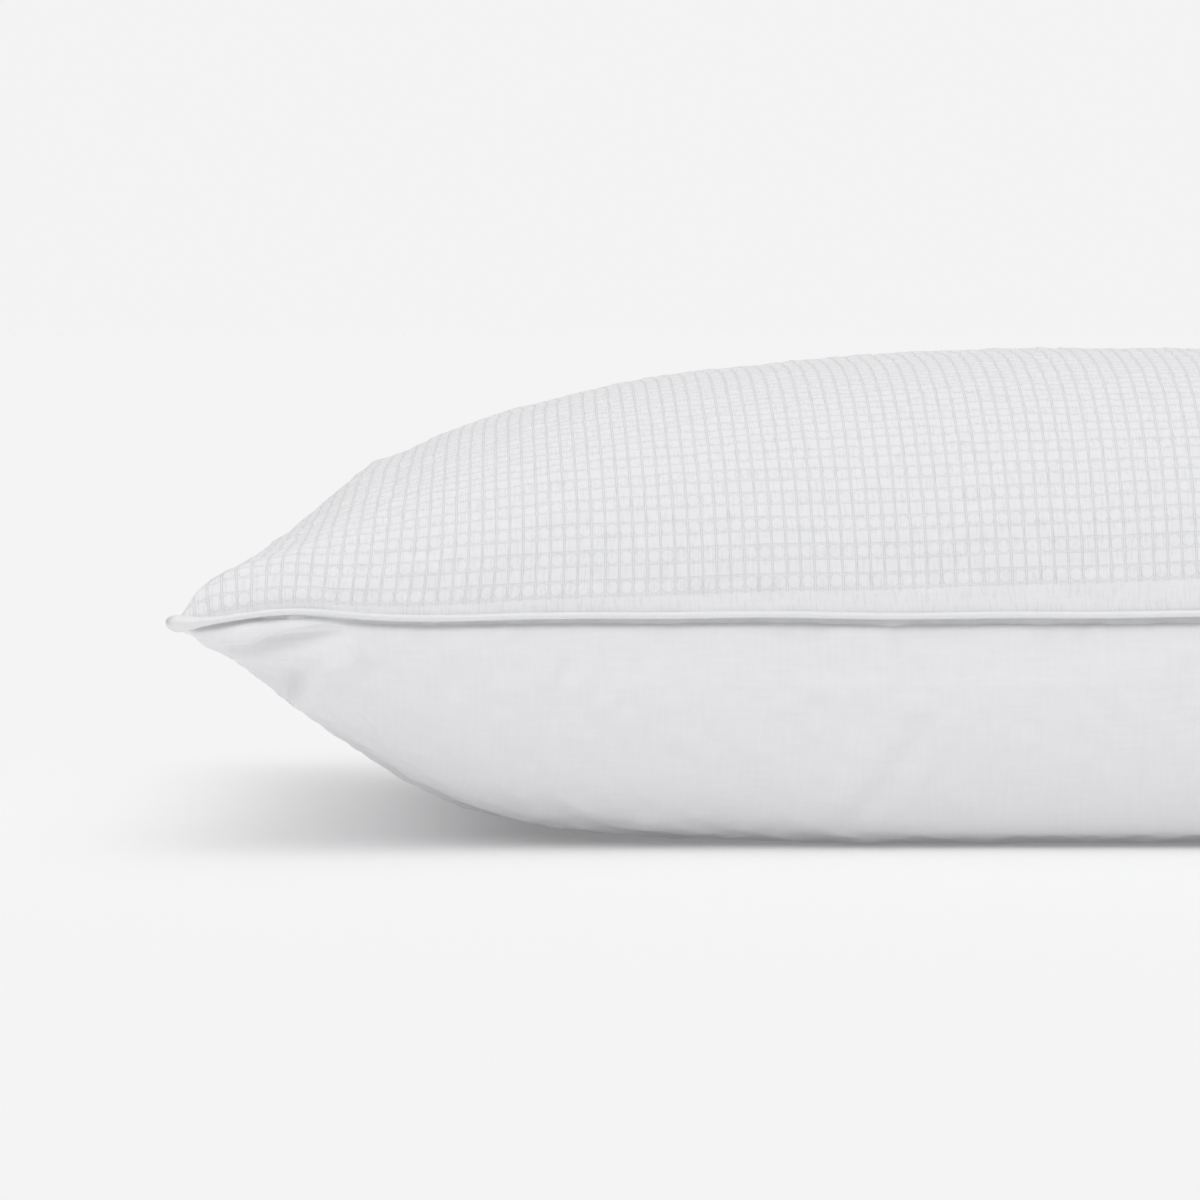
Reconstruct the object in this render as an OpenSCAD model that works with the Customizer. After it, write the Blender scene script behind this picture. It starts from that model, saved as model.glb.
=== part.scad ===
// Bed pillow: a jacquard top and a plain cotton underside, piped round the edge and filled with loose fibre.
// It lies flat. The origin is under its middle, on the surface that it rests on. +X runs along its length.

/* [Filled case] */
// Length from corner tip to corner tip
case_l = 724; // [600:1:900]
// Width from corner tip to corner tip
case_w = 476; // [400:1:600]
// How far the filling pulls each short side in at its middle
pull_l = 12; // [4:1:30]
// How far the filling pulls each long side in at its middle
pull_w = 32; // [4:1:44]
// Rounding of the four corners in plan
corner_r = 9; // [4:0.5:20]

/* [Filled height] */
// Height of the edge seam above the surface that the pillow rests on
seam_h = 89; // [60:1:120]
// Rise of the crown above the edge seam
crown_rise = 95; // [50:1:130]
// Length over which the underside rolls on to its flat resting patch
roll = 44; // [20:1:80]
// How hard the filling presses on the surface under it: more brings the underside down nearer the seam
press = 8; // [2:0.5:20]
// Length of the flat resting patch
rest_l = 250; // [120:5:300]
// Width of the flat resting patch
rest_w = 184; // [80:2:220]
// Rise of the underside outside the resting patch, for each millimetre away from it
rest_rise = 0.02; // [0.01:0.005:0.04]

/* [Roundness of the sections] */
// Fullness along the length: larger is flatter across the middle
full_l = 3.3; // [2:0.1:4]
// Steepness at the short sides: smaller is steeper
steep_l = 0.83; // [0.5:0.01:1]
// Fullness across the width
full_w = 3.4; // [2:0.1:4]
// Steepness at the long sides
steep_w = 0.45; // [0.4:0.01:1]

/* [Fabric and seam] */
// Thickness of the two panels' fabric
panel_t = 0.6; // [0.4:0.05:1.2]
// Thickness of the satin strip round the piping
strip_t = 0.4; // [0.2:0.05:0.6]
// Width of the seam allowance turned inside
allowance = 10; // [7:0.5:15]
// Distance from the outside of the seam to the row of stitches
stitch_in = 1.6; // [1:0.1:3]

/* [Piping] */
// Diameter of the filler cord
cord_d = 2; // [1.5:0.1:4]
// Room between the filler cord and the strip round it
cord_gap = 0.04; // [0.02:0.01:0.1]

/* [Filling] */
// Room between the fibre and the inside of the panels
fill_gap = 0.3; // [0.2:0.1:2]
// Room between the fibre and the edge of the seam allowance
fill_edge_gap = 3; // [2:0.5:8]

/* [Threads] */
// Thickness of the sewing thread
thread_d = 0.5; // [0.3:0.05:0.8]
// Width of the overedge stitches on the raw edges
overedge_w = 5; // [3:0.5:6]
// Length of the row that closes the filling opening
closing_l = 150; // [80:1:200]
// Distance from the piping to the closing row
closing_in = 3; // [2:0.5:6]
// Length of each closing stitch
closing_stitch_l = 3; // [2:0.5:5]
// Gap between closing stitches
closing_stitch_gap = 1; // [0.5:0.5:2]
// Room between the closing stitches and the fabric under them
closing_room = 0.1; // [0.1:0.05:0.3]

/* [Care label] */
// Length of the label along the seam
label_w = 34; // [20:1:60]
// Length of the label that hangs outside the seam
label_drop = 42; // [20:1:60]
// Thickness of the label's ribbon
label_t = 0.15; // [0.1:0.05:0.2]
// How far past the stitches the label's ends reach into the seam
label_hold = 4; // [2:0.5:6]
// Room round the label where the underside panel folds over it
label_room = 0.03; // [0.02:0.01:0.1]
// Distance of the label's middle from the middle of the back seam
label_x = 190; // [100:1:240]

/* [Hidden] */

half_l = case_l / 2;
half_w = case_w / 2;
cols = 36;                        // mesh cells along the length
rows = 24;                        // mesh cells across the width
cord_sides = 8;                   // flats round the piping's section
strip_z = strip_t;                // the strip's two layers lie one each side of the seam plane
fold_z = strip_z + panel_t;       // a panel's turned-in edge reaches this far from the seam plane
tube_r = cord_d / 2 + cord_gap + strip_t;
tip_cut = corner_r * (1 - sqrt(0.5));
cord_out = sqrt(pow(tube_r, 2) - pow(strip_z, 2));  // the cord's centre lies this far outside the seam line
free_drop = seam_h + roll / 2 + press;               // drop of the underside if nothing pressed it flat
rest_u = place_below(rest_l / case_l, cols);        // the resting patch ends on lines of mesh places
rest_v = place_below(rest_w / case_w, rows);

// Rise and fall of a section, 1 in the middle and 0 at the edge.
function swell(t, full, steep) = pow(max(0, 1 - pow(min(1, abs(t)), full)), steep);
function swell_at(u, v) = swell(u, full_l, steep_l) * swell(v, full_w, steep_w);

// Plan position of mesh place (u, v), each -1 to 1, on an outline moved outwards by grow.
function corner_pull(t, half) = pow(abs(t), half / tip_cut);
function plan_x(u, v, grow) =
    u * (half_l - pull_l * (1 - v * v) + grow) - sign(u) * tip_cut * corner_pull(u, half_l) * corner_pull(v, half_w);
function plan_y(u, v, grow) =
    v * (half_w - pull_w * (1 - u * u) + grow) - sign(v) * tip_cut * corner_pull(u, half_l) * corner_pull(v, half_w);

// Depth of the underside below the seam: it rolls on to a flat patch at exactly seam_h.
function pressed(d) =
    let (start = seam_h - roll / 2, flat = seam_h + roll / 2)
    d <= start ? d : d >= flat ? seam_h : d - pow(d - start, 2) / (2 * roll);

// Mesh places run closer together near the edges, where the surface turns fastest.
function place(i, n) = sin(-90 + 180 * i / n);
function u_of(i) = place(i, cols);
function v_of(j) = place(j, rows);

// The last of those lines that lies within the share t of the half length or width.
function place_below(t, n) = sin(180 / n * floor(asin(t) * n / 180));

// Share of its depth that the underside keeps at mesh place (u, v), rising away from the resting patch.
function rested(u, v) =
    1 - rest_rise * (max(0, abs(u) - rest_u) * half_l + max(0, abs(v) - rest_v) * half_w) / seam_h;

// Height of the case at mesh place (u, v): side is 1 for the top and -1 for the underside, in is how far inside.
function case_z(u, v, side, in) =
    let (s = swell_at(u, v), rise = side > 0 ? s : pressed(free_drop * s) / seam_h * rested(u, v))
    seam_h + side * (fold_z + ((side > 0 ? crown_rise : seam_h) - fold_z - in) * rise);

// Grid of points over the case, with some cells left off at each end and each side.
function skin(side, in, skip_l = 0, skip_w = 0) = [
    for (j = [skip_w:rows - skip_w]) for (i = [skip_l:cols - skip_l])
        let (u = u_of(i), v = v_of(j))
        [plan_x(u, v, -in), plan_y(u, v, -in), case_z(u, v, side, in)]
];

// Faces of a grid of nc by nr cells whose first point has the number first.
function grid_faces(first, flip, nc = cols, nr = rows) = [
    for (j = [0:nr - 1]) for (i = [0:nc - 1])
        let (a = first + j * (nc + 1) + i, b = a + 1, c = b + nc + 1, d = a + nc + 1,
             low = (i < nc / 2) == (j < nr / 2))
        each low ? (flip ? [[a, b, c], [a, c, d]] : [[a, c, b], [a, d, c]])
                 : (flip ? [[a, b, d], [b, c, d]] : [[a, d, b], [b, d, c]])
];

// Point numbers round the edge of such a grid, anticlockwise from its front left corner.
function grid_edge(first, nc = cols, nr = rows) = [
    for (i = [0:nc - 1]) first + i,
    for (j = [0:nr - 1]) first + nc + j * (nc + 1),
    for (i = [nc:-1:1]) first + nr * (nc + 1) + i,
    for (j = [nr:-1:1]) first + j * (nc + 1)
];

// The seam's outline as mesh places in the same order, and the ring of points at one height along it.
outline = [
    for (i = [0:cols - 1]) [u_of(i), -1],
    for (j = [0:rows - 1]) [1, v_of(j)],
    for (i = [cols:-1:1]) [u_of(i), 1],
    for (j = [rows:-1:1]) [-1, v_of(j)]
];
edge_n = len(outline);
function edge_ring(grow, z) = [for (p = outline) [plan_x(p[0], p[1], grow), plan_y(p[0], p[1], grow), z]];
function ring_ids(first) = [for (k = [0:edge_n - 1]) first + k];

// Faces of the band between two rings given by their point numbers.
function band(from, to) = [
    for (k = [0:len(from) - 1])
        let (m = (k + 1) % len(from))
        each [[from[k], to[k], to[m]], [from[k], to[m], from[m]]]
];

// One shaped panel: outer skin, inner skin and the allowance turned in flat along the seam.
module panel(side) {
    grid_n = (cols + 1) * (rows + 1);
    points = concat(
        skin(side, 0),
        skin(side, panel_t),
        edge_ring(0, seam_h + side * strip_z),
        edge_ring(-allowance, seam_h + side * strip_z),
        edge_ring(-allowance, seam_h + side * fold_z)
    );
    outer = grid_edge(0);
    inner = grid_edge(grid_n);
    fold = ring_ids(2 * grid_n);
    raw_near = ring_ids(2 * grid_n + edge_n);
    raw_far = ring_ids(2 * grid_n + 2 * edge_n);
    walls = side > 0
        ? concat(band(inner, raw_far), band(raw_far, raw_near), band(raw_near, fold), band(fold, outer))
        : concat(band(raw_far, inner), band(raw_near, raw_far), band(fold, raw_near), band(outer, fold));
    polyhedron(points, concat(grid_faces(0, side < 0), grid_faces(grid_n, side > 0), walls));
}

// A closed loop swept round the outline: section holds [outwards, up] points, anticlockwise.
module edge_sweep(section) {
    n = len(section);
    points = [for (p = section) each edge_ring(p[0], seam_h + p[1])];
    faces = [for (k = [0:n - 1]) each band(ring_ids(k * edge_n), ring_ids(((k + 1) % n) * edge_n))];
    polyhedron(points, faces);
}
function arc(r, from, to, n, out) = [
    for (k = [0:n]) let (a = from + (to - from) * k / n) [out + r * cos(a), r * sin(a)]
];

// Top panel, white jacquard cotton.
module top_panel() color([0.93, 0.93, 0.94]) panel(1);

// Underside panel, plain white cotton, flat where it rests.
module bottom_panel() color([0.88, 0.88, 0.89])
    difference() {
        panel(-1);
        label_shape(label_room);
    }

// Satin strip, folded round the filler cord with both raw edges in the seam.
module piping_cover() color([0.96, 0.96, 0.97]) {
    bore_r = cord_d / 2 + cord_gap;
    slit = cord_gap / 2;
    wrap = asin(strip_z / tube_r);
    bite = asin(slit / bore_r);
    edge_sweep(concat(
        [[-allowance, -strip_z]],
        arc(tube_r, -180 + wrap, 180 - wrap, cord_sides, cord_out),
        [[-allowance, strip_z], [-allowance, slit]],
        arc(bore_r, 180 - bite, -180 + bite, cord_sides, cord_out),
        [[-allowance, -slit]]
    ));
}

// Cotton filler cord inside the piping.
module piping_cord() color([0.9, 0.89, 0.86])
    edge_sweep(arc(cord_d / 2, 0, 360 - 360 / cord_sides, cord_sides - 1, cord_out));

// Loose fibre, as the one soft body that fills the case and stops short of the turned-in edges.
// Its mesh is the panels' own, less the cells that lie over the seam allowance.
module fibre_fill() color([0.97, 0.97, 0.95]) {
    edge = allowance + fill_edge_gap;
    skip_l = min([for (i = [1:cols / 2]) if ((1 + u_of(i)) * (half_l - pull_l) >= edge) i]);
    skip_w = min([for (j = [1:rows / 2]) if ((1 + v_of(j)) * (half_w - pull_w) >= edge) j]);
    nc = cols - 2 * skip_l;
    nr = rows - 2 * skip_w;
    grid_n = (nc + 1) * (nr + 1);
    clear = panel_t + fill_gap;
    polyhedron(
        concat(skin(1, clear, skip_l, skip_w), skin(-1, clear, skip_l, skip_w)),
        concat(grid_faces(0, false, nc, nr), grid_faces(grid_n, true, nc, nr),
               band(grid_edge(grid_n, nc, nr), grid_edge(0, nc, nr)))
    );
}

// Needle thread above the seam's layers and bobbin thread below them.
module seam_thread() color([0.98, 0.98, 0.98]) {
    for (side = [-1, 1])
        edge_sweep([for (p = arc(thread_d / 2, 0, 270, 3, -stitch_in))
                    [p[0], p[1] + side * (fold_z + thread_d / 2)]]);
}

// Overedge thread wrapped round the raw edges of all four layers.
module overedge_thread() color([0.95, 0.95, 0.95]) {
    edge_sweep([
        [-allowance - thread_d, -fold_z - thread_d],
        [-allowance + overedge_w, -fold_z - thread_d],
        [-allowance + overedge_w, -fold_z],
        [-allowance, -fold_z],
        [-allowance, fold_z],
        [-allowance + overedge_w, fold_z],
        [-allowance + overedge_w, fold_z + thread_d],
        [-allowance - thread_d, fold_z + thread_d]
    ]);
}

// Point on the underside's skin, a given depth below the seam, on the short side at +X.
function side_point(v, depth) =
    let (u = u_of(cols - 1), drop = seam_h - fold_z - case_z(u, v, -1, 0), t = (depth - fold_z) / drop)
    [plan_x(1, v, 0) * (1 - t) + plan_x(u, v, 0) * t, plan_y(1, v, 0), seam_h - depth];

// Row of machine stitches that closes the filling opening, on the underside of the short side at +X.
module closing_stitches() color([0.98, 0.98, 0.98]) {
    step = closing_stitch_l + closing_stitch_gap;
    count = floor(closing_l / step);
    for (k = [0:count - 1]) {
        y = (k - (count - 1) / 2) * step;
        at = side_point(y / (half_w - pull_w), closing_in);
        translate([at[0] + thread_d / 2 + closing_room, y, at[2]])
            rotate([90, 0, 0])
                cylinder(d = thread_d, h = closing_stitch_l, center = true, $fn = 24);
    }
}

// Solid of the folded ribbon: its ends lie in the seam, and the loop hangs down outside the back.
module label_shape(clear) {
    u = label_x / half_l;
    turn = atan(2 * pull_w * u / half_l);
    thick = 2 * label_t;
    inner = [-label_t * 1.5 - clear, -strip_z - thick];
    translate([label_x, plan_y(u, 1, 0), seam_h])
        rotate([0, 0, turn])
            rotate([90, 0, 90])
                translate([0, 0, -label_w / 2 - clear])
                    linear_extrude(label_w + 2 * clear)
                        polygon([
                            [-stitch_in - label_hold - clear, -strip_z],
                            [0, -strip_z],
                            [inner[0] + thick + 2 * clear, inner[1]],
                            [inner[0] + thick + 2 * clear, -label_drop - clear],
                            [inner[0], -label_drop - clear],
                            [inner[0], inner[1] - clear],
                            [-stitch_in - label_hold - clear, inner[1] - clear]
                        ]);
}

// Care label, a blank ribbon folded in half with both ends caught in the back seam.
module care_label() color([0.97, 0.97, 0.96]) label_shape(0);

top_panel();
bottom_panel();
piping_cover();
piping_cord();
fibre_fill();
seam_thread();
overedge_thread();
closing_stitches();
care_label();
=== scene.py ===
import math
import bpy
import numpy as np
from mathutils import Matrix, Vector


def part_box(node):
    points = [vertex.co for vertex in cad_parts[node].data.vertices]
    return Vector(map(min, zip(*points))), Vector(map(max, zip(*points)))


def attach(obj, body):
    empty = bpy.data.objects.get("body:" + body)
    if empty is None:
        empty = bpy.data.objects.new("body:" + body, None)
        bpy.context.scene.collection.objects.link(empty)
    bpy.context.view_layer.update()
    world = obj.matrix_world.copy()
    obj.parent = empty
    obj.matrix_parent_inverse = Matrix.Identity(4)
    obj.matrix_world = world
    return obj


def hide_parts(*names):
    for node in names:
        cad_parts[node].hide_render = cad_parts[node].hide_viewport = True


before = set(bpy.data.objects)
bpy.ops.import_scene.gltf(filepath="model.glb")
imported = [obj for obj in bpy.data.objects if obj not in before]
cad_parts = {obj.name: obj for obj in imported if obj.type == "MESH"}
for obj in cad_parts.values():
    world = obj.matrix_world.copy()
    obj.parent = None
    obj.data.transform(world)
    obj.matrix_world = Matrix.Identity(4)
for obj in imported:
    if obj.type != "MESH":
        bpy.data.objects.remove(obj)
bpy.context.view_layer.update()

# ---- Camera ----
# It stands in front of the left half of the pillow, a little above the seam, and looks along +Y. Its long
# lens keeps the far side nearly as large as the near one.
panel_low, panel_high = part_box("top_panel")
underside_low, underside_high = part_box("bottom_panel")
seam_z = (panel_low.z + underside_high.z) / 2
camera_distance = 2.4
camera_height_angle = math.radians(2.5)
view_width = 0.441
sensor = 36
view_left_of_middle = 0.208
view_middle_above_seam = 0.0052
front_middle = panel_low.y + 0.032
aim = Vector((-view_left_of_middle, front_middle, seam_z + view_middle_above_seam))
camera_data = bpy.data.cameras.new("camera")
camera_data.sensor_width = sensor
camera_data.lens = sensor * camera_distance / view_width
camera = bpy.data.objects.new("camera", camera_data)
bpy.context.scene.collection.objects.link(camera)
back_off = Vector((0, -math.cos(camera_height_angle), math.sin(camera_height_angle)))
camera.location = aim + camera_distance * back_off
camera.rotation_euler = (math.pi / 2 - camera_height_angle, 0, 0)
bpy.context.scene.camera = camera


# ---- Filled case ----
# Two panels cut flat as equal rectangles are sewn round the edge and filled until the middle stands up.
# The filling draws the sides in between the corners, and its weight presses the underside flat.
cut_length = 0.75
cut_width = 0.50
cells_long = 120
cells_wide = 80
pulled_in_long = 0.012
pulled_in_wide = 0.032
corner_radius = 0.009
corner_cut = corner_radius * (1 - math.sqrt(0.5))
half_length = panel_high.x + corner_cut
half_width = panel_high.y + corner_cut
crown_rise = panel_high.z - seam_z
underside_drop = seam_z - underside_low.z
roll = 0.044
roll_middle = 0.018
press = 0.008
roll_change_start = 0.25
roll_change_length = 0.3
free_drop = underside_drop + roll / 2 + press
rest_u = 0.342
rest_v = 0.383
rest_rise = 0.012
long_fullness = 3.3
long_steepness = 0.83
crown_fullness = 3.4
crown_steepness = 0.45
underside_fullness = 4.2
underside_steepness = 0.42


def swell(place, fullness, steepness):
    return np.clip(1 - np.abs(place) ** fullness, 0, None) ** steepness


def seam_plan(u, v):
    cut = corner_cut * np.abs(u) ** (half_length / corner_cut) * np.abs(v) ** (half_width / corner_cut)
    x = u * (half_length - pulled_in_long * (1 - v * v)) - np.sign(u) * cut
    y = v * (half_width - pulled_in_wide * (1 - u * u)) - np.sign(v) * cut
    return x, y


def pressed_flat(drop, over):
    start = underside_drop - over / 2
    end = underside_drop + over / 2
    rolling = drop - (drop - start) ** 2 / (2 * over)
    return np.where(drop <= start, drop, np.where(drop >= end, underside_drop, rolling))


def seam_wave(x, y):
    """How far the seam of a soft case wanders from level: it dips at each tip and lifts just behind it."""
    tip_dip = 0.0024
    dip_length = 0.02
    lift = 0.0021
    lift_place = 0.044
    lift_length = 0.022
    short_side_start = 0.3
    short_side_blend = 0.03
    from_tip = half_length - np.abs(x)
    at_tip = -tip_dip * np.exp(-(from_tip / dip_length) ** 2)
    behind_tip = lift * np.exp(-((from_tip - lift_place) / lift_length) ** 2)
    long_waves = 0.0003 * np.sin(x / 0.031 + 1) + 0.0002 * np.sin(x / 0.013)
    short_waves = 0.0005 * np.sin(y / 0.029 + 2)
    on_short_side = np.clip((np.abs(x) - short_side_start) / short_side_blend, 0, 1)
    return at_tip + behind_tip + long_waves + short_waves * on_short_side


def filled_surface(u, v, side):
    x, y = seam_plan(u, v)
    if side > 0:
        across = swell(v, crown_fullness, crown_steepness)
    else:
        across = swell(v, underside_fullness, underside_steepness)
    rise = swell(u, long_fullness, long_steepness) * across
    toward_end = np.clip((np.abs(u) - roll_change_start) / roll_change_length, 0, 1)
    roll_here = roll_middle + (roll - roll_middle) * toward_end
    away = (np.maximum(0, np.abs(u) - rest_u) * half_length
            + np.maximum(0, np.abs(v) - rest_v) * half_width)
    down = pressed_flat(free_drop * rise, roll_here) * (1 - rest_rise * away / underside_drop)
    z = crown_rise * rise if side > 0 else -down
    return np.stack([x, y, seam_z + z + seam_wave(x, y) * (1 - rise)], -1)


def evenly_spaced(curve, steps):
    """Places on the curve, from -1 to 1, that cut its length into equal steps."""
    samples = 801
    fine = np.sin(np.linspace(-math.pi / 2, math.pi / 2, samples))
    points = curve(fine)
    run = np.concatenate([[0], np.cumsum(np.linalg.norm(np.diff(points, axis=0), axis=1))])
    return np.interp(np.linspace(0, run[-1], steps + 1), run, fine)


def filled_panel(side):
    """One panel of the filled case, its cells evened out along both ways of the cloth."""
    evening_rounds = 3
    u = np.repeat(np.linspace(-1, 1, cells_long + 1)[:, None], cells_wide + 1, 1)
    v = np.repeat(np.linspace(-1, 1, cells_wide + 1)[None], cells_long + 1, 0)
    for evening in range(evening_rounds):
        new_u = u.copy()
        new_v = v.copy()
        for j in range(cells_wide + 1):
            row_u, row_v = u[:, j], v[:, j]
            new_u[:, j] = evenly_spaced(
                lambda t: filled_surface(t, np.interp(t, row_u, row_v), side), cells_long)
        for i in range(cells_long + 1):
            column_u, column_v = new_u[i], v[i]
            new_v[i] = evenly_spaced(
                lambda t: filled_surface(np.interp(t, column_v, column_u), t, side), cells_wide)
        u, v = new_u, new_v
    return filled_surface(u, v, side)


cut_x, cut_y = np.meshgrid(np.linspace(-cut_length / 2, cut_length / 2, cells_long + 1),
                           np.linspace(-cut_width / 2, cut_width / 2, cells_wide + 1), indexing="ij")
points_a_side = (cells_long + 1) * (cells_wide + 1)
top_id = np.arange(points_a_side).reshape(cells_long + 1, cells_wide + 1)
on_seam = np.zeros(top_id.shape, bool)
on_seam[0] = on_seam[-1] = on_seam[:, 0] = on_seam[:, -1] = True
under_id = np.where(on_seam, top_id, 0)
under_id[~on_seam] = points_a_side + np.arange(int((~on_seam).sum()))


def grid_cells(ids, turned):
    """Four-sided faces of a grid of points, facing up, or down where turned."""
    a, b, c, d = ids[:-1, :-1], ids[1:, :-1], ids[1:, 1:], ids[:-1, 1:]
    order = (a, d, c, b) if turned else (a, b, c, d)
    return np.stack([corner.ravel() for corner in order], -1)


top_shape = filled_panel(1)
under_shape = filled_panel(-1)
case_points = np.concatenate([top_shape.reshape(-1, 3), under_shape[~on_seam]])
flat_points = np.concatenate([np.stack([cut_x, cut_y], -1).reshape(-1, 2),
                              np.stack([cut_x[~on_seam], cut_y[~on_seam]], -1)])
flat_points = np.column_stack([flat_points, np.zeros(len(flat_points))])
case_faces = np.concatenate([grid_cells(top_id, False), grid_cells(under_id, True)])
seam_points = np.where(on_seam.ravel())[0]


def settle_cloth(start):
    """Where the case's points come to rest when its flat cut panels are blown up from the filled shape."""
    slight_hold = 0.02
    ticks = 20
    mesh = bpy.data.meshes.new("case_cloth")
    mesh.from_pydata(start.tolist(), [], case_faces.tolist())
    cloth = bpy.data.objects.new("case_cloth", mesh)
    bpy.context.scene.collection.objects.link(cloth)
    cloth.shape_key_add(name="filled")
    flat = cloth.shape_key_add(name="cut")
    flat.data.foreach_set("co", flat_points.astype(np.float32).ravel())
    held = cloth.vertex_groups.new(name="held")
    inner = np.setdiff1d(np.arange(len(start)), seam_points)
    held.add(seam_points.tolist(), 1.0, "REPLACE")
    held.add(inner.tolist(), slight_hold, "REPLACE")
    modifier = cloth.modifiers.new("cloth", "CLOTH")
    fabric = modifier.settings
    fabric.quality = 6
    fabric.mass = 0.02
    fabric.air_damping = 2
    fabric.tension_stiffness = 40
    fabric.compression_stiffness = 40
    fabric.shear_stiffness = 10
    fabric.bending_stiffness = 0.2
    fabric.tension_damping = 5
    fabric.compression_damping = 5
    fabric.shear_damping = 5
    fabric.rest_shape_key = flat
    fabric.vertex_group_mass = "held"
    fabric.pin_stiffness = 1
    fabric.use_pressure = True
    fabric.uniform_pressure_force = 3
    fabric.effector_weights.gravity = 0
    modifier.collision_settings.use_collision = False
    modifier.collision_settings.use_self_collision = False
    for tick in range(1, ticks + 1):
        bpy.context.scene.frame_set(tick)
    graph = bpy.context.evaluated_depsgraph_get()
    settled = cloth.evaluated_get(graph).to_mesh()
    result = np.zeros(len(start) * 3, np.float32)
    settled.vertices.foreach_get("co", result)
    bpy.data.objects.remove(cloth)
    bpy.context.scene.frame_set(1)
    return result.reshape(-1, 3).astype(float)


def blurred(field, passes):
    for step in range(passes):
        for axis in (0, 1):
            padded = np.pad(field, [(1, 1) if axis == k else (0, 0) for k in (0, 1)], mode="edge")
            if axis == 0:
                field = (padded[:-2] + 2 * padded[1:-1] + padded[2:]) / 4
            else:
                field = (padded[:, :-2] + 2 * padded[:, 1:-1] + padded[:, 2:]) / 4
    return field


def outward(grid, side):
    """The way straight out of the case at each point of the top, side 1, or the underside, side -1."""
    first = np.gradient(grid, axis=0)
    second = np.gradient(grid, axis=1)
    normal = np.cross(first, second) * side
    return normal / np.maximum(np.linalg.norm(normal, axis=-1, keepdims=True), 1e-12)


def wrinkles(move, ids, side):
    """The small folds of the settled cloth, straight out from the case, without its overall swelling."""
    most_wrinkle = 0.003
    swelling_passes = 40
    lift = np.sum(move[ids] * outward(case_points[ids], side), -1)
    return np.clip(lift - blurred(lift, swelling_passes), -most_wrinkle, most_wrinkle)


top_wrinkles = np.zeros(top_id.shape)
under_wrinkles = np.zeros(top_id.shape)
unevenness = 0.0004
scatter = np.random.default_rng(7).normal(0, unevenness, case_points.shape)
scatter[seam_points] = 0
move = settle_cloth(case_points + scatter) - case_points
top_wrinkles = wrinkles(move, top_id, 1)
under_wrinkles = wrinkles(move, under_id, -1)


fine_cells_long = 380
fine_cells_wide = 260
crowding = 0.62


def fine_lines(cells, fine_cells):
    """Where the finer lines lie among the cells: close together near both seams, wider in the middle."""
    even = np.linspace(0, 1, fine_cells + 1)
    return cells * (even - crowding / (2 * math.pi) * np.sin(2 * math.pi * even))


def finer(grid):
    """The same surface on the finer lines, along smooth curves through its points."""
    long_lines = fine_lines(cells_long, fine_cells_long)
    wide_lines = fine_lines(cells_wide, fine_cells_wide)
    for axis, lines in ((0, long_lines), (1, wide_lines)):
        points = np.moveaxis(grid, axis, 0)
        first = 2 * points[:1] - points[1:2]
        last = 2 * points[-1:] - points[-2:-1]
        points = np.concatenate([first, points, last])
        cell = np.minimum(np.floor(lines).astype(int), len(points) - 4)
        before, here, there, after = points[cell], points[cell + 1], points[cell + 2], points[cell + 3]
        t = (lines - cell).reshape((-1,) + (1,) * (points.ndim - 1))
        fine = 0.5 * (2 * here + (there - before) * t
                      + (2 * before - 5 * here + 4 * there - after) * t ** 2
                      + (3 * here - before - 3 * there + after) * t ** 3)
        grid = np.moveaxis(fine, 0, axis)
    return grid


top_case = finer(case_points[top_id])
under_case = finer(case_points[under_id])
cut_place = finer(np.stack([cut_x, cut_y], -1))
from_middle = np.abs(cut_place[..., 0])
from_short_seam = cut_length / 2 - from_middle
from_long_seam = cut_width / 2 - np.abs(cut_place[..., 1])
from_seam = np.maximum(np.minimum(from_short_seam, from_long_seam), 0)
from_corner = np.hypot(from_short_seam, from_long_seam)
along_seam = np.where(from_short_seam < from_long_seam,
                      cut_place[..., 1] + cut_length * np.sign(cut_place[..., 0]),
                      cut_place[..., 0] + 2 * cut_length * np.sign(cut_place[..., 1]))


def wavering(place, spacing, seed):
    """A smooth random line along place, about -1 to 1, with a bend every spacing."""
    count = 4096
    bends = np.random.default_rng(seed).uniform(-1, 1, count)
    spot = place / spacing + count // 2
    low = np.floor(spot).astype(int)
    t = spot - low
    t = t * t * (3 - 2 * t)
    return bends[low] * (1 - t) + bends[low + 1] * t


def rumpled(place, spacing, seed):
    """A smooth random surface over the cut cloth, about -1 to 1, with a bend every spacing."""
    count = 256
    bends = np.random.default_rng(seed).uniform(-1, 1, (count, count))
    spot = place / spacing + count // 2
    low = np.floor(spot).astype(int)
    t = spot - low
    t = t * t * (3 - 2 * t)
    i, j, tx, ty = low[..., 0], low[..., 1], t[..., 0], t[..., 1]
    return ((bends[i, j] * (1 - tx) + bends[i + 1, j] * tx) * (1 - ty)
            + (bends[i, j + 1] * (1 - tx) + bends[i + 1, j + 1] * tx) * ty)


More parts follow.
